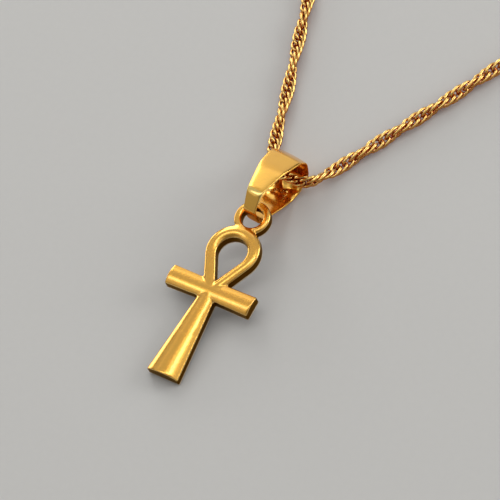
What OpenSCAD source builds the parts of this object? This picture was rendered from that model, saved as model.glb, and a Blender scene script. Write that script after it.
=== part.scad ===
// Ankh pendant on its bail and twisted curb chain, lying on a flat surface.
// The origin is on the surface, under the flat of the bail's back. +Y runs from the ankh to the clasp.

/* [Crossbar] */
// Length of the crossbar
bar_length = 15; // [12:0.5:18]
// Width of the crossbar at the stem
bar_width = 3.15; // [2.8:0.05:3.6]
// Width of the crossbar at its ends
bar_end_width = 3.45; // [3.2:0.05:4]
// Rise of the crossbar's rounded front over its edges
bar_crown = 0.5; // [0.3:0.05:0.8]

/* [Stem] */
// Length from the middle of the crossbar to the foot
stem_length = 15.45; // [13:0.05:18]
// Width of the stem where it leaves the crossbar
stem_width = 2.95; // [2.6:0.05:3.4]
// Width of the stem at the foot
foot_width = 5.6; // [4.6:0.1:6.6]
// Rise of the stem's rounded front at the foot
foot_crown = 0.9; // [0.6:0.05:1.2]

/* [Loop] */
// Height of the straight edge of the cast body, from its flat back
side_height = 1.75; // [1.4:0.05:2.2]
// Outer radius of the loop's round top
loop_radius = 4.4; // [4:0.05:5]
// Height of the centre of the round top above the middle of the crossbar
loop_centre = 7.3; // [7:0.05:8.5]
// Radius of the round top of the hole
hole_radius = 2.5; // [2:0.05:2.8]
// How far the centre of the hole lies below the centre of the round top
hole_drop = 0.35; // [0.2:0.05:0.6]
// Slope of the loop's outer limbs, from the stem's axis
limb_slope = 26; // [22:0.5:30]
// Rise of the loop's rounded front over its edges
loop_crown = 0.45; // [0.3:0.05:0.7]

/* [Eye] */
// Radius of the hole in the eye
eye_hole_radius = 1.75; // [1.6:0.05:2]
// Width of the band round the eye
eye_band = 1.2; // [1:0.05:1.5]
// Metal left between the eye's hole and the top edge of the loop
eye_web = 0.1; // [0.05:0.05:0.4]

/* [Bail] */
// Thickness of the bail's sheet
sheet = 0.45; // [0.35:0.05:0.55]
// Length of the bail from its tail to its top fold
bail_length = 13.75; // [12.5:0.25:15]
// Depth of the bail from its flat back to the crease on its front
bail_depth = 9.5; // [9:0.1:10.5]
// Width of the bail at its top fold
bail_width = 5.6; // [5:0.1:6.6]
// Width of the bail at its front crease
crease_width = 2.8; // [2.4:0.1:3.2]
// Width of the bail where it passes through the eye
tail_width = 2.4; // [1.8:0.1:2.6]
// Turn of the bail's folds from straight across, in degrees
fold_turn = 7; // [0:0.5:9]

/* [Chain] */
// Diameter of the twisted chain over its widest links
chain_diameter = 2.15; // [1.9:0.05:2.25]

/* [Clasp] */
// Length of the clasp's barrel
clasp_length = 8; // [7:0.5:10]
// Diameter of the barrel at its middle
clasp_diameter = 2.8; // [2.4:0.1:3.2]
// Diameter of the barrel at its ends
clasp_end_diameter = 2; // [1.6:0.1:2.3]
// Diameter of the wire of the clasp's end eyes
clasp_wire = 0.55; // [0.4:0.05:0.6]
// Inner radius of the clasp's end eyes
clasp_eye_radius = 0.6; // [0.5:0.05:0.7]

/* [Fits] */
// Gap between the eye and the inside of the bail that it lies on
eye_gap = 0.18; // [0.05:0.05:0.3]
// Gap between the end of the chain and the clasp's eye
chain_gap = 0.25; // [0.1:0.05:0.4]

/* [Hidden] */
$fn = 96;
gold = [0.93, 0.7, 0.27];
bright_gold = [0.98, 0.8, 0.38];
// Margin that a cutting shape reaches past what it cuts
over = 1;
// Sides of a circle much larger than the piece it shapes
fine = 1200;

// The ankh, in its own frame: X along the crossbar, Y up the stem, Z out of the front.
// Z is zero on the straight front edges.
hole_centre = loop_centre - hole_drop;
hole_tip = bar_width / 2;
eye_centre = loop_centre + loop_radius + eye_web + eye_hole_radius;
band_radius = (loop_radius + hole_radius) / 2;
band_centre = (loop_centre + hole_centre) / 2;
band_half = (loop_radius - hole_radius + hole_drop) / 2;
tip_gap = 0.05;
limb_taper = 1;
eye_rise = 0.1;
body_height = side_height + max(bar_crown, foot_crown, loop_crown);

// Radius of a round front that rises by a crown over a half width
function crown_radius(half, rise) = (half * half + rise * rise) / (2 * rise);

module crown_section(half, rise) {
    r = crown_radius(half, rise);
    intersection() {
        translate([-half - over / 2, -side_height])
            square([2 * half + over, side_height + rise]);
        translate([0, rise - r])
            circle(r = r);
    }
}

module crossbar() {
    end_half = bar_end_width / 2;
    intersection() {
        translate([0, 0, -side_height])
            linear_extrude(height = body_height)
                polygon([
                    [0, -bar_width / 2],
                    [bar_length / 2, -end_half],
                    [bar_length / 2, end_half],
                    [0, bar_width / 2],
                    [-bar_length / 2, end_half],
                    [-bar_length / 2, -end_half]
                ]);
        translate([-bar_length / 2 - over, 0, bar_crown - crown_radius(end_half, bar_crown)])
            rotate([0, 90, 0])
                cylinder(h = bar_length + 2 * over, r = crown_radius(end_half, bar_crown));
    }
}

// The stem's front is part of a cone: its width and its crown grow together towards the foot.
module stem() {
    free_length = stem_length - bar_width / 2;
    apex = free_length * stem_width / (foot_width - stem_width) - bar_width / 2;
    reach = stem_length + apex;
    root_width = foot_width * apex / reach;
    foot_r = crown_radius(foot_width / 2, foot_crown);
    dip = atan((foot_r - foot_crown) / reach);
    spread = atan(foot_r / reach * cos(dip));
    cone_length = reach + foot_width;
    intersection() {
        translate([0, 0, -side_height])
            linear_extrude(height = body_height)
                polygon([
                    [-root_width / 2, 0],
                    [-foot_width / 2, -stem_length],
                    [foot_width / 2, -stem_length],
                    [root_width / 2, 0]
                ]);
        translate([0, apex, 0])
            rotate([90 + dip, 0, 0])
                cylinder(h = cone_length, r1 = 0, r2 = cone_length * tan(spread));
    }
}

module round_outline(radius, centre, slope, base) {
    side = radius * cos(slope);
    height = centre - radius * sin(slope);
    foot = side - (height - base) * tan(slope);
    translate([0, centre])
        circle(r = radius);
    polygon([[-side, height], [-foot, base], [foot, base], [side, height]]);
}

module drop_hole() {
    half_angle = asin(hole_radius / (hole_centre - hole_tip));
    round_outline(hole_radius, hole_centre, half_angle, hole_tip + tip_gap);
}

module loop() {
    slope = limb_slope + limb_taper;
    intersection() {
        translate([0, 0, -side_height])
            linear_extrude(height = body_height)
                difference() {
                    round_outline(loop_radius, loop_centre, limb_slope, 0);
                    drop_hole();
                }
        translate([0, band_centre, 0])
            union() {
                rotate([0, 0, -slope])
                    rotate_extrude(angle = 180 + 2 * slope)
                        translate([band_radius, 0])
                            crown_section(band_half, loop_crown);
                for (side = [-1, 1])
                    rotate([0, 0, side > 0 ? -slope : 180 + slope])
                        translate([band_radius, 0, 0])
                            rotate([side > 0 ? 90 : -90, 0, 0])
                                mirror([0, side > 0 ? 0 : 1, 0])
                                    linear_extrude(height = loop_centre)
                                        crown_section(band_half, loop_crown);
            }
    }
}

module eye() {
    middle = eye_hole_radius + eye_band / 2;
    translate([0, eye_centre, -side_height / 2])
        rotate_extrude()
            intersection() {
                translate([eye_hole_radius, -side_height / 2])
                    square([eye_band, side_height + eye_rise]);
                translate([middle, 0])
                    circle(r = side_height / 2 + eye_rise);
            }
}

// The bail's side outline is a closed strip, listed at its folds. The columns are the place along Y
// as a share of the bail's length, the height over the flat back as a share of its depth, and the
// fold's radius as a share of its depth. Folds run from the eye along the back, over the top and
// down the front.
bail_folds = [
    [-0.6, 0.413, 0.095],
    [-0.03, 0, 0.12],
    [0.102, 0, 0.2],
    [0.3, 0.197, 0.21],
    [0.322, 0.512, 0.21],
    [0.2, 0.745, 0.21],
    [-0.087, 0.937, 0.63],
    [-0.458, 1, 0.075],
    [-0.63, 0.771, 0.085]
];
fold_count = len(bail_folds);
function fold(i) =
    let (f = bail_folds[(i + fold_count) % fold_count])
    [f[0] * bail_length, sheet / 2 + f[1] * bail_depth, f[2] * bail_depth];
function heading(i) = atan2(fold(i + 1)[1] - fold(i)[1], fold(i + 1)[0] - fold(i)[0]);
function turn(i) = (heading(i) - heading(i - 1) + 720) % 360;
function setback(i) = fold(i)[2] * tan(turn(i) / 2);
bend_steps = 8;

// The closed outline that runs at a given distance outside the strip's middle line
function side_outline(out) = [
    for (i = [0 : fold_count - 1])
        let (
            here = fold(i),
            start = heading(i - 1),
            left = [-sin(start), cos(start)],
            back = [cos(start), sin(start)] * setback(i),
            centre = [here[0], here[1]] - back + left * here[2]
        )
        for (k = [0 : bend_steps])
            let (a = start - 90 + turn(i) * k / bend_steps)
            centre + (here[2] + out) * [cos(a), sin(a)]
];

module bail_side() {
    difference() {
        polygon(side_outline(sheet / 2));
        polygon(side_outline(-sheet / 2));
    }
}

// The outline of the bail's front. The columns are the place along Y as a share of the bail's
// length, and how far the width has grown from the crease's to the top fold's.
tail_flare = (tail_width - crease_width) / (bail_width - crease_width);
front_flare = [
    [-0.75, tail_flare],
    [-0.59, tail_flare],
    [-0.458, 0],
    [-0.21, 0.48],
    [0, 0.88],
    [0.15, 1.05],
    [0.23, 1.07],
    [0.28, 1],
    [0.45, 1]
];
front_edges = [
    for (f = front_flare)
        let (half = (crease_width + f[1] * (bail_width - crease_width)) / 2)
        [f[0] * bail_length, half, half]
];

// The outline of the bail's back, which lies askew. The columns are the place along Y as a share of
// the bail's length, and the reach to the left and to the right as shares of half the top fold.
tail_share = tail_width / bail_width;
back_flare = [
    [-0.75, tail_share, tail_share],
    [-0.59, tail_share, tail_share],
    [-0.42, 0.6, 0.49],
    [-0.31, 0.82, 0.54],
    [-0.2, 0.99, 0.62],
    [-0.09, 1.07, 0.63],
    [0.02, 1.1, 0.7],
    [0.1, 1.08, 0.79],
    [0.2, 1.03, 0.92],
    [0.28, 1, 1],
    [0.45, 1, 1]
];
back_edges = [
    for (f = back_flare)
        [f[0] * bail_length, f[1] * bail_width / 2, f[2] * bail_width / 2]
];

// The front and the back meet at the height of the rearmost fold.
bail_split = fold(4)[1];
overlap = 0.1;

module bail_blank(edges, low, high) {
    last = len(edges) - 1;
    translate([0, 0, low])
        linear_extrude(height = high - low)
            polygon(concat(
                [for (e = edges) [e[2], e[0]]],
                [for (i = [last : -1 : 0]) [-edges[i][1], edges[i][0]]]
            ));
}

// Where the ankh lies: the back edge of its foot on the surface, and the back of its eye's band on
// the tail of the bail, just inside the hole.
seat_along = 1.15;
tail_start = [fold(0)[0], fold(0)[1]];
tail_way = [cos(heading(0)), sin(heading(0))];
tail_inward = [-tail_way[1], tail_way[0]];
eye_seat = tail_start + seat_along * tail_way + (sheet / 2 + eye_gap) * tail_inward;
seat_height = eye_centre + sqrt(pow(eye_hole_radius, 2) - pow(tail_width / 2, 2));
back_length = stem_length + seat_height;
lean = asin(eye_seat[1] / back_length);

module ankh() {
    color(gold)
        translate([0, eye_seat[0] - back_length * cos(lean), 0])
            rotate([lean, 0, 0])
                translate([0, stem_length, side_height])
                    union() {
                        crossbar();
                        stem();
                        loop();
                        eye();
                    }
}

module bail() {
    color(bright_gold)
        intersection() {
            rotate([90, 0, 90 - fold_turn])
                translate([0, 0, -bail_width])
                    linear_extrude(height = 2 * bail_width)
                        bail_side();
            union() {
                bail_blank(back_edges, -over, bail_split + overlap);
                bail_blank(front_edges, bail_split, bail_depth + 2 * over);
            }
        }
}

// The clasp closes the loop of chain at its far end.
clasp_place = [7, 184];
clasp_eye_mean = clasp_eye_radius + clasp_wire / 2;
clasp_eye_place = clasp_length / 2 + clasp_eye_mean - clasp_wire / 4;
clasp_reach = clasp_eye_place + clasp_eye_mean + clasp_wire / 2 + chain_gap;

// The chain's route, hand chosen, from one end of the clasp to the other through the bail
on_floor = chain_diameter / 2;
chain_route = [
    [clasp_place[0] - clasp_reach, clasp_place[1], clasp_diameter / 2],
    [-9, 181.8, on_floor],
    [-19.5, 177.5, on_floor],
    [-32, 168, on_floor],
    [-43, 151, on_floor],
    [-47, 132, on_floor],
    [-43.5, 113, on_floor],
    [-36.5, 93, on_floor],
    [-29.5, 73.5, on_floor],
    [-22.5, 54, on_floor],
    [-16, 36, on_floor],
    [-12.4, 25.7, on_floor],
    [-9.6, 18, on_floor],
    [-7.3, 11, on_floor],
    [-5.8, 6.9, 1.3],
    [-4.4, 3.2, 2.3],
    [-2.6, 1.9, 2.35],
    [-0.2, 2.2, 2.5],
    [1, 2.1, 2.5],
    [2.4, 2, 2.7],
    [4, 2.75, 2.7],
    [4.8, 4.8, 1.9],
    [5.5, 6.6, 1.25],
    [7.1, 10, on_floor],
    [11.1, 17.7, on_floor],
    [15.3, 25.8, on_floor],
    [19.6, 34.5, on_floor],
    [28, 51.5, on_floor],
    [37, 69.5, on_floor],
    [46, 87.5, on_floor],
    [54.5, 105, on_floor],
    [60, 123, on_floor],
    [59, 142, on_floor],
    [51, 160, on_floor],
    [36, 174.5, on_floor],
    [23, 181.5, on_floor],
    [clasp_place[0] + clasp_reach, clasp_place[1], clasp_diameter / 2]
];
ring_spacing = 6.4;
sides = 8;

// A smooth curve through the route's points, and its rings
function route_at(i) = chain_route[max(0, min(len(chain_route) - 1, i))];
function curve(i, t) =
    let (a = route_at(i - 1), b = route_at(i), c = route_at(i + 1), d = route_at(i + 2))
    0.5 * (2 * b + (c - a) * t + (2 * a - 5 * b + 4 * c - d) * t * t
        + (3 * b - a - 3 * c + d) * t * t * t);
function unit(v) = v / norm(v);

chain_points = [
    for (i = [0 : len(chain_route) - 2])
        let (steps = max(1, round(norm(route_at(i + 1) - route_at(i)) / ring_spacing)))
        for (k = [0 : steps - 1])
            curve(i, k / steps),
    route_at(len(chain_route) - 1)
];
chain_rings = len(chain_points);

function along(i) =
    unit(chain_points[min(chain_rings - 1, i + 1)] - chain_points[max(0, i - 1)]);
function ring(i) =
    let (
        ahead = along(i),
        side = unit(cross([0, 0, 1], ahead)),
        up = cross(ahead, side),
        r = chain_diameter / 2 / cos(180 / sides)
    )
    [
        for (k = [0 : sides - 1])
            let (a = 360 * (k + 0.5) / sides)
            chain_points[i] + r * (cos(a) * side + sin(a) * up)
    ];

module chain() {
    last = chain_rings - 1;
    color(gold)
        polyhedron(
            points = [for (i = [0 : last]) each ring(i)],
            faces = concat(
                [[for (k = [0 : sides - 1]) k]],
                [
                    for (i = [0 : last - 1])
                        for (k = [0 : sides - 1])
                            let (n = (k + 1) % sides)
                            [i * sides + k, (i + 1) * sides + k, (i + 1) * sides + n, i * sides + n]
                ],
                [[for (k = [sides - 1 : -1 : 0]) last * sides + k]]
            )
        );
}

module clasp() {
    bulge = (clasp_diameter - clasp_end_diameter) / 2;
    bulge_radius = crown_radius(clasp_length / 2, bulge);
    color(bright_gold)
        translate([clasp_place[0], clasp_place[1], clasp_diameter / 2]) {
            rotate([0, 90, 0])
                rotate_extrude()
                    intersection() {
                        translate([0, -clasp_length / 2])
                            square([clasp_diameter, clasp_length]);
                        translate([clasp_diameter / 2 - bulge_radius, 0])
                            circle(r = bulge_radius, $fn = fine);
                    }
            for (side = [-1, 1])
                translate([side * clasp_eye_place, 0, 0])
                    rotate_extrude()
                        translate([clasp_eye_mean, 0])
                            circle(d = clasp_wire);
        }
}

ankh();
bail();
chain();
clasp();
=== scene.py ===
import math

import bpy
import numpy as np
from mathutils import Matrix, Vector


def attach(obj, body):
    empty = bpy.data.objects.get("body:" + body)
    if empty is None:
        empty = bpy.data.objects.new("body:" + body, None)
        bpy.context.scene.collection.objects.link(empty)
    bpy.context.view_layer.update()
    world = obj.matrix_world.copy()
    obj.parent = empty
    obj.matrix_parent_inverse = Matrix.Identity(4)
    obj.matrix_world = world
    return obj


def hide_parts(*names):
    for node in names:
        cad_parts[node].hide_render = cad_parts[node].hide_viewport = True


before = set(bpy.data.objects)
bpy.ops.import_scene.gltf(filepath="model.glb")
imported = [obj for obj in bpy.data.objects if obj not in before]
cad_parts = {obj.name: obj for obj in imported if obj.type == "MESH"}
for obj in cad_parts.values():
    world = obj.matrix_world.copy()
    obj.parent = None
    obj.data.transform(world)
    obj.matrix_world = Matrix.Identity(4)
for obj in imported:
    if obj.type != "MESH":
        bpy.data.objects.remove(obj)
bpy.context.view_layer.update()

MM = 0.001
# The ankh's back leans by this much on the bail, and its foot reaches this far forward
LEAN = math.radians(7.43)
FOOT_REACH = 37.4 * MM


# Camera: the photo's directions to the right and down, in the row's frame

RIGHT = Vector((0.848, 0.5008, -0.1732))
DOWN = Vector((0.3409, -0.7657, -0.5453))
LOOKED_AT = Vector((3.14, -14.22, 6.13)) * MM
DISTANCE = 385 * MM
SENSOR_WIDTH = 36
FOCAL_LENGTH = 180


def make_camera():
    data = bpy.data.cameras.new("camera")
    data.sensor_width = SENSOR_WIDTH
    data.lens = FOCAL_LENGTH
    data.clip_start = 0.01
    data.clip_end = 20
    camera = bpy.data.objects.new("camera", data)
    bpy.context.scene.collection.objects.link(camera)
    right = RIGHT.normalized()
    forward = right.cross(DOWN).normalized()
    up = right.cross(forward)
    turn = Matrix((right, up, -forward)).transposed()
    camera.matrix_world = Matrix.Translation(LOOKED_AT - forward * DISTANCE) @ turn.to_4x4()
    bpy.context.scene.camera = camera


make_camera()


# Shader helpers

class Value:
    """A shader socket that plain arithmetic works on."""

    def __init__(self, tree, socket):
        self.tree = tree
        self.socket = socket

    def maths(self, operation, first, second):
        node = self.tree.nodes.new("ShaderNodeMath")
        node.operation = operation
        for place, value in enumerate((first, second)):
            put(self.tree, node.inputs[place], value)
        return Value(self.tree, node.outputs[0])

    def __add__(self, other):
        return self.maths("ADD", self, other)

    def __radd__(self, other):
        return self.maths("ADD", other, self)

    def __sub__(self, other):
        return self.maths("SUBTRACT", self, other)

    def __rsub__(self, other):
        return self.maths("SUBTRACT", other, self)

    def __mul__(self, other):
        return self.maths("MULTIPLY", self, other)

    def __rmul__(self, other):
        return self.maths("MULTIPLY", other, self)


def put(tree, socket, value):
    """Links a socket to a value, or sets it to a number, a colour or a vector."""
    if isinstance(value, Value):
        tree.links.new(value.socket, socket)
    elif isinstance(value, tuple) and len(value) == 3 and len(socket.default_value) == 4:
        socket.default_value = (*value, 1)
    else:
        socket.default_value = value


class Finish:
    """A material's node tree, ending in one Principled shader."""

    def __init__(self, name):
        self.material = bpy.data.materials.new(name)
        self.material.use_nodes = True
        self.tree = self.material.node_tree
        self.tree.nodes.clear()
        self.surface = self.tree.nodes.new("ShaderNodeBsdfPrincipled")
        output = self.tree.nodes.new("ShaderNodeOutputMaterial")
        self.tree.links.new(self.surface.outputs[0], output.inputs[0])

    def node(self, kind, settings=(), inputs=(), output=0):
        node = self.tree.nodes.new("ShaderNode" + kind)
        for key, value in dict(settings).items():
            setattr(node, key, value)
        for key, value in dict(inputs).items():
            put(self.tree, node.inputs[key], value)
        return Value(self.tree, node.outputs[output])

    def place(self):
        return self.node("TexCoord", output="Object")

    def facing(self):
        return self.node("NewGeometry", output="Normal")

    def axes(self, vector):
        """A vector's three parts, along x, y and z."""
        return [self.node("SeparateXYZ", inputs={0: vector}, output=i) for i in range(3)]

    def noise(self, scale, detail=2, roughness=0.5):
        inputs = {"Vector": self.place(), "Scale": scale, "Detail": detail, "Roughness": roughness}
        return self.node("TexNoise", inputs=inputs, output="Fac")

    def step(self, value, low, high):
        """Zero below low and one above high, with a smooth rise between."""
        settings = {"interpolation_type": "SMOOTHSTEP"}
        return self.node("MapRange", settings, {"Value": value, "From Min": low, "From Max": high})

    def band(self, value, low, full, falling, gone):
        """One between full and falling, zero below low and above gone."""
        return self.step(value, low, full) * (1 - self.step(value, falling, gone))

    def mix(self, factor, first, second):
        settings = {"data_type": "RGBA"}
        return self.node("Mix", settings, {0: factor, 6: first, 7: second}, 2)

    def wall(self, upright, level):
        """One where the surface stands upright, zero where it faces up."""
        return 1 - self.step(self.axes(self.facing())[2], upright, level)

    def set(self, **values):
        for key, value in values.items():
            put(self.tree, self.surface.inputs[key.replace("_", " ")], value)


def colour(red, green, blue):
    """A colour given as it looks on a screen, from 0 to 255."""
    parts = [c / 255 for c in (red, green, blue)]
    return tuple(c / 12.92 if c < 0.04045 else ((c + 0.055) / 1.055) ** 2.4 for c in parts)


# Gold plate: faint clouds and a fine grain, in cells a metre, under a clear bright skin, with
# painted shade on its upright sides and in its gaps, and painted highlights

CLOUD_SCALE = 260
CLOUD_RANGE = (0.35, 0.7)
CLOUD_SHARE = 0.4
GRAIN_SCALE = 2600
GRAIN_RANGE = (0.45, 0.75)
GRAIN_DEPTH = 0.006 * MM
GLEAM = (1, 0.8, 0.5)
SKIN = 0.9
SKIN_ROUGHNESS = 0.12
SKIN_IOR = 1.8
# What the clouds, the grain and the walls add to the roughness
CLOUD_ROUGHNESS = 0.05
GRAIN_ROUGHNESS = 0.06
WALL_ROUGHNESS = 0.1

# The ankh's painted rim highlight, by how far it faces up, and the painted glint along its back
# edge, by its height in mm over the back, where it is also less metallic
RIM_HIGHLIGHT_BAND = (0.3, 0.45, 0.6, 0.7)
RIM_HIGHLIGHT_SHARE = 0.6
RIM_HIGHLIGHT_COLOUR = colour(255, 234, 160)
EDGE_GLINT_BAND = (0.16, 0.26, 0.34, 0.46)
EDGE_GLINT_SHARE = 0.9
EDGE_GLINT_COLOUR = colour(255, 232, 196)
EDGE_GLINT_DULLNESS = 0.8

# The bail's painted crease highlight, by how far it faces along y and by its height in mm
CREASE_HIGHLIGHT_BAND = (0, -0.14, -0.42, -0.6)
CREASE_HIGHLIGHT_HEIGHT = (8.5, 9)
CREASE_HIGHLIGHT_SHARE = 0.8
CREASE_HIGHLIGHT_COLOUR = colour(255, 224, 124)
# The bail's far side faces along y by this much, and there its painted side shade gives way to its
# body colour by this share
FAR_SIDE = (0.15, 0.6)
FAR_SIDE_SHARE = 0.7


def painted_edge_glint(f, wall):
    """One along the ankh's back edge, where a bright line of painted highlight stands for its glint.
    """
    y, z = f.axes(f.place())[1:]
    height = z * math.cos(LEAN) - (y + FOOT_REACH) * math.sin(LEAN)
    return wall * f.band(height, *(level * MM for level in EDGE_GLINT_BAND))


def painted_crease_highlight(f):
    """One along the bail's front crease, where a highlight is painted."""
    lean = f.axes(f.facing())[1]
    height = f.axes(f.place())[2]
    return f.band(lean, *CREASE_HIGHLIGHT_BAND) * f.step(height, *(level * MM for level in CREASE_HIGHLIGHT_HEIGHT))


def gold(name, light, deep, painted_shade_colour, shine, grain, painted_highlights=None, gaps=(1.2, 0.3, 0.95, 0.75),
         sides=(0.12, 0.5), wall_shade_share=0.85):
    """Gold from light to deep in its clouds, with a painted shade colour on upright sides and in
    gaps.

    shine is the least roughness, and grain is how strong the fine grain is. painted_highlights says
    where highlights are painted: "edges" or "crease". gaps holds how far in mm a gap reaches, how
    hidden a place has to be for none and for all of its painted shade, and the shade colour's share
    there. sides holds how far a face looks up where it counts as all wall and as no wall, and
    wall_shade_share is the painted shade colour's share on a wall.
    """
    f = Finish(name)
    cloud = f.step(f.noise(CLOUD_SCALE, 3), *CLOUD_RANGE)
    fine = f.noise(GRAIN_SCALE, 3, 0.6)
    body = f.mix(cloud * CLOUD_SHARE, light, deep)
    wall = f.wall(*sides)
    reach, start, end, amount = gaps
    hidden = 1 - f.node("AmbientOcclusion", {"samples": 6}, {"Distance": reach * MM}, "AO")
    # Painted shade and painted reflection: upright sides take the dark shade colour
    shade = f.mix(wall * wall_shade_share, body, painted_shade_colour)
    # Painted shade in gaps and recesses, as deep as a place is hidden
    shade = f.mix(f.step(hidden, start, end) * amount, shade, painted_shade_colour)
    metal = 1
    if painted_highlights == "edges":
        # Painted highlight on the ankh's sloping rims
        rim_highlight = f.band(f.axes(f.facing())[2], *RIM_HIGHLIGHT_BAND)
        shade = f.mix(rim_highlight * RIM_HIGHLIGHT_SHARE, shade, RIM_HIGHLIGHT_COLOUR)
        # Painted highlight: a bright, less metallic line along the back edge
        edge_glint = painted_edge_glint(f, wall)
        shade = f.mix(edge_glint * EDGE_GLINT_SHARE, shade, EDGE_GLINT_COLOUR)
        metal = 1 - EDGE_GLINT_DULLNESS * edge_glint
    if painted_highlights == "crease":
        # The bail's outer far side keeps less of the painted side shade
        far = f.step(f.axes(f.facing())[1], *FAR_SIDE)
        shade = f.mix(far * wall * FAR_SIDE_SHARE, shade, body)
        # Painted highlight along the bail's front crease
        shade = f.mix(painted_crease_highlight(f) * CREASE_HIGHLIGHT_SHARE, shade, CREASE_HIGHLIGHT_COLOUR)
    rough = shine + CLOUD_ROUGHNESS * cloud
    rough = rough + GRAIN_ROUGHNESS * f.step(fine, *GRAIN_RANGE) + WALL_ROUGHNESS * wall
    bump = f.node("Bump", inputs={"Strength": grain, "Distance": GRAIN_DEPTH, "Height": fine})
    f.set(Base_Color=shade, Metallic=metal, Roughness=rough, Normal=bump, Specular_Tint=GLEAM)
    f.set(Coat_Weight=SKIN - SKIN * wall, Coat_Roughness=SKIN_ROUGHNESS, Coat_IOR=SKIN_IOR)
    return f.material


CAST = gold(
    "cast_gold",
    light=colour(255, 190, 58),
    deep=colour(246, 172, 44),
    # Painted shade: near-black brown on the ankh's walls and in its gaps
    painted_shade_colour=colour(70, 26, 4),
    shine=0.2,
    grain=0.12,
    painted_highlights="edges",
    sides=(0.08, 0.42),
    wall_shade_share=0.97,
)
SHEET = gold(
    "bail_gold",
    light=colour(255, 192, 56),
    deep=colour(246, 176, 46),
    # Painted reflection and shade: orange for gold seen in gold, on the bail's sides and inside
    painted_shade_colour=colour(215, 110, 20),
    shine=0.17,
    grain=0.06,
    painted_highlights="crease",
    gaps=(1.2, 0.4, 1, 0.5),
)
LINKS = gold(
    "chain_gold",
    light=colour(255, 208, 104),
    deep=colour(250, 188, 76),
    # Painted shade: red-brown on the wires' sides and between the links
    painted_shade_colour=colour(196, 86, 16),
    shine=0.12,
    grain=0.08,
    gaps=(0.9, 0.25, 0.8, 0.9),
    sides=(0.15, 0.7),
)
CLASP = gold(
    "clasp_gold",
    light=colour(255, 205, 96),
    deep=colour(246, 186, 70),
    # Painted shade on the clasp's downward sides and in its gaps
    painted_shade_colour=colour(190, 112, 36),
    shine=0.14,
    grain=0.06,
    sides=(-0.3, 0.4),
    wall_shade_share=0.6,
)


# Floor and light

FLOOR_HALF = 3
PAPER_SCALE = 900
PAPER_LIGHT = colour(214, 213, 210)
PAPER_DEEP = colour(204, 203, 200)
PANEL_DISTANCE = 1
PANELS_FACE = Vector((0, -0.015, 0.005))
# Each panel's name, the way to it, the way of its long side, the degrees that it fills across and
# along, and its brightness
PANELS = [
    ("right_strip", (0.16, 0.17, 0.96), (0.896, 0.443, 0), 4.6, 26, 3.2),
    ("left_strip", (-0.3, -0.13, 0.93), (0.75, 0.66, 0), 9, 40, 1.7),
    ("glow_panel", (-0.2, -0.16, 0.93), (0.78, 0.62, 0), 26, 80, 0.4),
    ("middle_panel", (-0.3, 0.3, 0.9), (0.82, 0.57, 0), 22, 90, 0.3),
    ("filling_panel", (-0.4, 0.57, 0.72), (0.82, 0.57, 0), 22, 90, 0.28),
    ("back_panel", (-0.66, 0.62, 0.42), (0.07, -0.53, 0.85), 16, 44, 2.9),
    ("bail_panel", (-0.38, 0.84, 0.38), (0, -0.3, 0.95), 30, 56, 0.54),
    ("low_left_panel", (-0.95, 0.2, 0.15), (0, 0, 1), 36, 18, 2.5),
    ("low_front_panel", (-0.5, -0.7, 0.4), (0.81, -0.58, 0), 40, 70, 0.16),
    ("right_panel", (0.62, 0.2, 0.75), (0.896, 0.443, 0), 50, 60, 0.45),
    ("back_right_panel", (0.75, 0.62, 0.4), (0, 0, 1), 30, 24, 3.6),
]


def make_floor():
    corners = [(-1, -1), (1, -1), (1, 1), (-1, 1)]
    mesh = bpy.data.meshes.new("floor")
    mesh.from_pydata([(x * FLOOR_HALF, y * FLOOR_HALF, 0) for x, y in corners], [], [(0, 1, 2, 3)])
    floor = bpy.data.objects.new("floor", mesh)
    bpy.context.scene.collection.objects.link(floor)
    f = Finish("floor_paper")
    tone = f.noise(PAPER_SCALE) * 0.3
    f.set(Base_Color=f.mix(tone, PAPER_LIGHT, PAPER_DEEP), Roughness=0.75, Specular_IOR_Level=0.2)
    mesh.materials.append(f.material)


def make_panel(name, towards, along, across_degrees, along_degrees, brightness):
    """A soft panel that the pieces see in one direction, with its long side along another."""
    wide = 2 * PANEL_DISTANCE * math.tan(math.radians(across_degrees) / 2)
    long = 2 * PANEL_DISTANCE * math.tan(math.radians(along_degrees) / 2)
    data = bpy.data.lights.new(name, "AREA")
    data.shape = "RECTANGLE"
    data.size = wide
    data.size_y = long
    data.energy = brightness * math.pi * wide * long
    light = bpy.data.objects.new(name, data)
    bpy.context.scene.collection.objects.link(light)
    back = Vector(towards).normalized()
    long_way = Vector(along) - back * Vector(along).dot(back)
    long_way.normalize()
    turn = Matrix((long_way.cross(back), long_way, back)).transposed()
    place = PANELS_FACE + back * PANEL_DISTANCE
    light.matrix_world = Matrix.Translation(place) @ turn.to_4x4()


def make_world(brightness):
    world = bpy.data.worlds.new("studio")
    bpy.context.scene.world = world
    world.use_nodes = True
    background = world.node_tree.nodes["Background"]
    background.inputs["Color"].default_value = (1, 0.98, 0.95, 1)
    background.inputs["Strength"].default_value = brightness


bpy.context.scene.view_settings.view_transform = "Standard"
make_floor()
make_world(brightness=0.2)
for panel in PANELS:
    make_panel(*panel)


# Making pieces

def mesh_of(name, points, faces):
    """A mesh from points in mm."""
    mesh = bpy.data.meshes.new(name)
    mesh.from_pydata((points * MM).tolist(), [], faces.tolist())
    mesh.validate()
    return mesh


def add_piece(name, mesh, material, node):
    piece = bpy.data.objects.new(name, mesh)
    bpy.context.scene.collection.objects.link(piece)
    mesh.materials.clear()
    mesh.materials.append(material)
    mesh.polygons.foreach_set("use_smooth", [True] * len(mesh.polygons))
    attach(piece, "root")
    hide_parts(node)


def finish_node(node, material):
    for slot in bpy.data.objects[node].material_slots:
        slot.material = material


# Ankh: the node's own solid, with its edges and creases worn round

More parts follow.
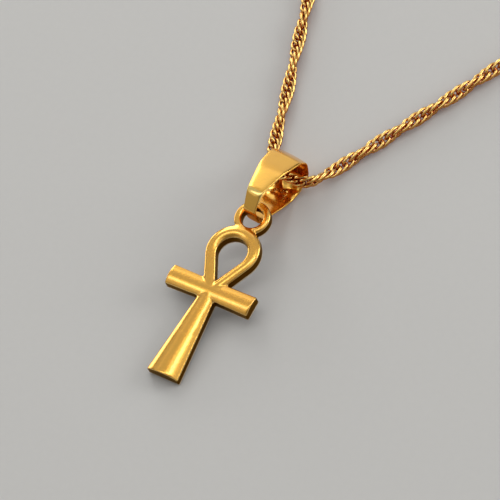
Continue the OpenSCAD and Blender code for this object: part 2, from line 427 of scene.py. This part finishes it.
def softened(node, voxel_mm, rounds):
    """The node's solid, remeshed finely and smoothed. The modifiers work in mm."""
    mesh = bpy.data.objects[node].data.copy()
    mesh.transform(Matrix.Scale(1 / MM, 4))
    rough = bpy.data.objects.new(node + "_rough", mesh)
    bpy.context.scene.collection.objects.link(rough)
    remesh = rough.modifiers.new("remesh", "REMESH")
    remesh.mode = "VOXEL"
    remesh.voxel_size = voxel_mm
    smooth = rough.modifiers.new("smooth", "SMOOTH")
    smooth.factor = 0.5
    smooth.iterations = rounds
    bpy.context.view_layer.update()
    ready = rough.evaluated_get(bpy.context.evaluated_depsgraph_get())
    fine = bpy.data.meshes.new_from_object(ready)
    bpy.data.objects.remove(rough)
    bpy.data.meshes.remove(mesh)
    fine.transform(Matrix.Scale(MM, 4))
    return fine


# Bail: one band of sheet with soft folds and rounded edges, in mm

BAIL_LENGTH = 13.75
BAIL_DEPTH = 9.5
# The middle line's height where the back lies flat
BACK_HEIGHT = 0.225
FOLD_TURN = math.radians(7)
# Along and up at each fold, as shares of the length and depth, and the fold's radius
FOLDS = [
    (-0.6, 0.413, 0.095),
    (-0.03, 0, 0.12),
    (0.102, 0, 0.2),
    (0.3, 0.197, 0.21),
    (0.322, 0.512, 0.21),
    (0.2, 0.745, 0.21),
    (-0.087, 0.937, 0.63),
    (-0.458, 1, 0.14),
    (-0.63, 0.771, 0.085),
]
# The fold at the far end, where the back turns over into the front
FAR_FOLD = 4
# Place along as a share of the length, and reach to the left and to the right
FRONT_EDGES = [
    (-0.59, 1.18, 1.18),
    (-0.458, 1.4, 1.4),
    (-0.21, 2.06, 2.06),
    (0, 2.62, 2.62),
    (0.15, 2.86, 2.86),
    (0.23, 2.88, 2.88),
    (0.28, 2.78, 2.78),
]
BACK_EDGES = [
    (-0.59, 1.18, 1.18),
    (-0.42, 1.67, 1.36),
    (-0.31, 2.28, 1.5),
    (-0.2, 2.76, 1.72),
    (-0.09, 2.98, 1.75),
    (0.02, 3.06, 1.95),
    (0.1, 3.01, 2.2),
    (0.2, 2.87, 2.56),
    (0.28, 2.78, 2.78),
]
SHEET_HALF = 0.21
EDGE_ROLL = 0.16
EDGE_THINNING = 0.06
# How far the front bulges where it is this wide to one side
CROWN = 0.12
CROWN_HALF_WIDTH = 2.5
# How far the sheet lies inside its middle line, and its back further still
SET_IN = 0.08
BACK_SET_IN = 0.03
# How deep the crumples are, how far below the far fold they start and how far along they reach
CRUMPLE = 0.28
CRUMPLE_TOP = 1.2
CRUMPLE_END = -2
ARC_STEPS = 24
BAIL_RINGS = 300
# Rounds that settle how far the edges reach, as each turned fold moves its edge along the bail
REACH_ROUNDS = 12


def fold_line():
    """The closed middle line of the bail seen from its side, with every fold as an arc."""
    corners = np.array([(a * BAIL_LENGTH, BACK_HEIGHT + b * BAIL_DEPTH) for a, b, r in FOLDS])
    radii = [r * BAIL_DEPTH for a, b, r in FOLDS]
    points = []
    for i, corner in enumerate(corners):
        before = corner - corners[i - 1]
        after = corners[(i + 1) % len(corners)] - corner
        start = math.atan2(before[1], before[0])
        turn = (math.atan2(after[1], after[0]) - start) % (2 * math.pi)
        left = np.array((-math.sin(start), math.cos(start)))
        back = np.array((math.cos(start), math.sin(start))) * radii[i] * math.tan(turn / 2)
        centre = corner - back + left * radii[i]
        for k in range(ARC_STEPS + 1):
            angle = start - math.pi / 2 + turn * k / ARC_STEPS
            points.append(centre + radii[i] * np.array((math.cos(angle), math.sin(angle))))
    return np.array(points)


def softer(values, rounds):
    """A ring of values, each drawn towards its two neighbours."""
    for _ in range(rounds):
        values = 0.5 * values + 0.25 * (np.roll(values, 1, 0) + np.roll(values, -1, 0))
    return values


def even_loop(points, count):
    """Evenly spaced points round a closed line."""
    closed = np.vstack([points, points[:1]])
    at = np.concatenate([[0], np.cumsum(np.linalg.norm(np.diff(closed, axis=0), axis=1))])
    s = np.arange(count) * at[-1] / count
    return np.stack([np.interp(s, at, closed[:, i]) for i in range(2)], -1)


def edge_at(side, y, z, split):
    """Reach of the bail to one side, where its middle line is at y and z."""
    along = y / BAIL_LENGTH
    front = np.interp(along, [e[0] for e in FRONT_EDGES], [e[side] for e in FRONT_EDGES])
    back = np.interp(along, [e[0] for e in BACK_EDGES], [e[side] for e in BACK_EDGES])
    return np.where(z > split, front, back)


def section(columns, corner_steps):
    """Round the sheet's cross-section: share across, bulge of its edge and height, from -1 to 1."""
    across = np.linspace(-1, 1, columns)
    bend = np.linspace(math.pi / 2, -math.pi / 2, corner_steps + 2)[1:-1]
    top = [(a, 0, 1) for a in across]
    right = [(1, math.cos(b), math.sin(b)) for b in bend]
    under = [(a, 0, -1) for a in across[::-1]]
    left = [(-1, -math.cos(b), -math.sin(b)) for b in bend]
    return np.array(top + right + under + left)


def crumples(x, u):
    """Sharp shallow facets that bending left inside the bail's back, from 0 to 1."""
    long_facets = np.abs(np.sin(1.1 * x + 0.5 * u + 0.4))
    cross_facets = np.abs(np.sin(0.6 * x - 1.1 * u + 1.1))
    return 0.6 * long_facets + 0.4 * cross_facets


def bail_mesh():
    loop = softer(even_loop(fold_line(), BAIL_RINGS), rounds=12)
    way = np.roll(loop, -1, 0) - np.roll(loop, 1, 0)
    way /= np.linalg.norm(way, axis=1, keepdims=True)
    out = np.stack([way[:, 1], -way[:, 0]], -1)
    split = BACK_HEIGHT + FOLDS[FAR_FOLD][1] * BAIL_DEPTH
    u, v = loop[:, 0], loop[:, 1]
    reach = []
    for side, sign in ((1, -1), (2, 1)):
        x = np.zeros(len(u))
        for _ in range(REACH_ROUNDS):
            y = u / math.cos(FOLD_TURN) - x * math.tan(FOLD_TURN)
            x = sign * edge_at(side, y, v, split)
        reach.append(softer(x, rounds=16))
    left, right = reach
    middle = ((left + right) / 2)[:, None]
    half = ((right - left) / 2)[:, None]
    share, bulge, height = section(columns=26, corner_steps=7).T
    x = middle + (half - EDGE_ROLL) * share + EDGE_ROLL * bulge
    edge = np.abs(x - middle) / half
    thick = SHEET_HALF * height - EDGE_THINNING * edge ** 6 * np.sign(height)
    front = softer((v > split).astype(float), rounds=24)[:, None]
    crown = CROWN * front * (1 - edge ** 2) * half / CROWN_HALF_WIDTH - SET_IN
    crumpled = (v < split - CRUMPLE_TOP) & (u > CRUMPLE_END)
    back = softer(crumpled.astype(float), rounds=24)[:, None]
    inside = back * (height < 0) * (1 - edge ** 4)
    lift = thick + crown - CRUMPLE * inside * crumples(x, u[:, None]) - BACK_SET_IN * back
    y = u[:, None] / math.cos(FOLD_TURN) - x * math.tan(FOLD_TURN)
    points = np.stack([
        x + lift * out[:, :1] * math.sin(FOLD_TURN),
        y + lift * out[:, :1] * math.cos(FOLD_TURN),
        v[:, None] + lift * out[:, 1:],
    ], -1)
    rings, sides = x.shape
    index = np.arange(rings * sides).reshape(rings, sides)
    ahead = np.roll(index, -1, 0)
    faces = np.stack([index, np.roll(index, -1, 1), np.roll(ahead, -1, 1), ahead], -1)
    return mesh_of("bail_sheet", points.reshape(-1, 3), faces.reshape(-1, 4))


# Chain: links along the real route of the part's tube, in mm

CLASP_X = 7
CLASP_Y = 184
# How far from the clasp's middle the route ends, and how high, in the clasp's eyes
CLASP_REACH = 6.14
EYE_Z = 1.4
# The route's height where the chain rests on the surface
REST_Z = 1.075
ROUTE = [
    (CLASP_X - CLASP_REACH, CLASP_Y, EYE_Z),
    (-9, 181.8, REST_Z),
    (-19.5, 177.5, REST_Z),
    (-32, 168, REST_Z),
    (-43, 151, REST_Z),
    (-47, 132, REST_Z),
    (-43.5, 113, REST_Z),
    (-36.5, 93, REST_Z),
    (-29.5, 73.5, REST_Z),
    (-22.5, 54, REST_Z),
    (-16, 36, REST_Z),
    (-12.4, 25.7, REST_Z),
    (-9.6, 18, REST_Z),
    (-7.3, 11, REST_Z),
    (-5.8, 6.9, 1.3),
    (-4.4, 3.2, 2.3),
    (-2.6, 1.9, 2.35),
    (-0.2, 2.2, 2.5),
    (1, 2.1, 2.5),
    (2.4, 2, 2.7),
    (4, 2.75, 2.7),
    (4.8, 4.8, 1.9),
    (5.5, 6.6, 1.25),
    (7.1, 10, REST_Z),
    (11.1, 17.7, REST_Z),
    (15.3, 25.8, REST_Z),
    (19.6, 34.5, REST_Z),
    (28, 51.5, REST_Z),
    (37, 69.5, REST_Z),
    (46, 87.5, REST_Z),
    (54.5, 105, REST_Z),
    (60, 123, REST_Z),
    (59, 142, REST_Z),
    (51, 160, REST_Z),
    (36, 174.5, REST_Z),
    (23, 181.5, REST_Z),
    (CLASP_X + CLASP_REACH, CLASP_Y, EYE_Z),
]
# Steps between two of the route's points, and how far ahead and behind its direction is taken
ROUTE_STEPS = 24
WAY_REACH = 0.6
LINK_PITCH = 1.165
LINK_HALF_LENGTH = 1.46
# Links that lie free are wider than those that squeeze through the bail, and lie higher by as much
LINK_HALF_WIDTH = 0.9
TIGHT_HALF_WIDTH = 0.8
LINK_LIFT = 0.09
LINK_WIRE = 0.52
# Below 1, a link's sides are fuller than an oval's
LINK_FULLNESS = 0.9
LINK_POINTS = 28
WIRE_SIDES = 6
# Each link is itself bent against the chain's twist, in radians a mm, and turns a little by itself
LINK_TWIST = math.radians(-20)
LINK_PLAY = math.radians(5)
PLAY_SEED = 5
# Middle and half length of each end link, which is shorter and stands upright through the clasp's eye
END_LINK = -0.25
END_HALF_LENGTH = 1.15
# Distance along the route, and how free the links are there, between the clasp's eyes and the bail
FREEDOM = [
    (0, 0),
    (5, 1),
    (207.1, 1),
    (210.6, 0),
    (223.6, 0),
    (227.1, 1),
    (435.5, 1),
    (440.5, 0),
]
# The flat chain's twist: distance along the route, and half turns there
TWIST = [
    (0, -21.2),
    (185.6, 0.76),
    (194.3, 1.6),
    (204.2, 2.55),
    (228.5, 5.15),
    (238.5, 6.54),
    (245.5, 7.48),
    (255.9, 8.93),
    (440.5, 31.2),
]


def smooth_route(points, steps):
    """Points on the smooth curve through the route's points, as the part has it."""
    p = np.array(points, float)
    p = np.vstack([p[0], p, p[-1]])
    t = np.linspace(0, 1, steps, endpoint=False)[:, None]
    pieces = []
    for a, b, c, d in zip(p[:-3], p[1:-2], p[2:-1], p[3:]):
        bent = 2 * b + (c - a) * t + (2 * a - 5 * b + 4 * c - d) * t ** 2
        pieces.append(0.5 * (bent + (3 * b - a - 3 * c + d) * t ** 3))
    pieces.append(p[-1:])
    return np.vstack(pieces)


class Strand:
    """The route by its length: place, way across and way up at any distance along it."""

    def __init__(self, points):
        self.curve = smooth_route(points, ROUTE_STEPS)
        gaps = np.linalg.norm(np.diff(self.curve, axis=0), axis=1)
        self.at = np.concatenate([[0], np.cumsum(gaps)])
        self.length = self.at[-1]

    def point(self, s):
        """The curve's point at each distance, or its end where that is beyond it."""
        return np.stack([np.interp(s, self.at, self.curve[:, i]) for i in range(3)], -1)

    def place(self, s):
        """The point at each distance, straight on beyond both ends."""
        before = np.minimum(s, 0)[..., None] * self.way(np.zeros_like(s))
        after = np.maximum(s - self.length, 0)[..., None] * self.way(np.full_like(s, self.length))
        return self.point(s) + before + after

    def way(self, s):
        s = np.clip(s, 0, self.length)
        step = self.point(s + WAY_REACH) - self.point(s - WAY_REACH)
        return step / np.linalg.norm(step, axis=-1, keepdims=True)

    def frame(self, s):
        way = self.way(s)
        across = np.cross((0, 0, 1), way)
        across /= np.linalg.norm(across, axis=-1, keepdims=True)
        return self.place(s), across, np.cross(way, across)


def along_route(table, s):
    """The table's value at each distance along the route."""
    at, values = zip(*table)
    return np.interp(s, at, values)


def tubes(centres, middles, radius, sides):
    """Closed wires along rings of points. centres is links by points by 3."""
    way = np.roll(centres, -1, 1) - np.roll(centres, 1, 1)
    way /= np.linalg.norm(way, axis=-1, keepdims=True)
    out = centres - middles[:, None, :]
    out -= way * np.sum(out * way, -1, keepdims=True)
    out /= np.linalg.norm(out, axis=-1, keepdims=True)
    side = np.cross(way, out)
    angle = np.arange(sides) * 2 * math.pi / sides
    turn = np.cos(angle)[:, None] * out[:, :, None] + np.sin(angle)[:, None] * side[:, :, None]
    points = centres[:, :, None] + radius * turn
    links, rings = centres.shape[:2]
    index = np.arange(links * rings * sides).reshape(links, rings, sides)
    ahead = np.roll(index, -1, 1)
    faces = np.stack([index, ahead, np.roll(ahead, -1, 2), np.roll(index, -1, 2)], -1)
    return points.reshape(-1, 3), faces.reshape(-1, 4)


def chain_mesh():
    strand = Strand(ROUTE)
    count = round(strand.length / LINK_PITCH)
    middle = (np.arange(count) + 0.5) * strand.length / count
    half_length = np.full(count, LINK_HALF_LENGTH)
    ends = [0, count - 1]
    middle[ends] = (END_LINK, strand.length - END_LINK)
    half_length[ends] = END_HALF_LENGTH
    t = np.arange(LINK_POINTS) * 2 * math.pi / LINK_POINTS
    across = np.sign(np.sin(t)) * np.abs(np.sin(t)) ** LINK_FULLNESS
    along = half_length[:, None] * np.cos(t)
    place, side, up = strand.frame(middle[:, None] + along)
    loose = np.random.default_rng(PLAY_SEED).uniform(-1, 1, count) * LINK_PLAY
    turn = (along_route(TWIST, middle) * math.pi + loose)[:, None] + LINK_TWIST * along
    turn[ends] = math.pi / 2
    free = along_route(FREEDOM, middle)[:, None]
    reach = (TIGHT_HALF_WIDTH + (LINK_HALF_WIDTH - TIGHT_HALF_WIDTH) * free) * across
    sideways = (np.cos(turn) * reach)[..., None]
    upwards = (np.sin(turn) * reach + LINK_LIFT * free)[..., None]
    rings = place + side * sideways + up * upwards
    points, faces = tubes(rings, rings.mean(1), LINK_WIRE / 2, WIRE_SIDES)
    return mesh_of("chain_links", points, faces)


add_piece("ankh_cast", softened("ankh", voxel_mm=0.09, rounds=30), CAST, "ankh")
add_piece("bail_sheet", bail_mesh(), SHEET, "bail")
add_piece("chain_links", chain_mesh(), LINKS, "chain")
finish_node("clasp", CLASP)
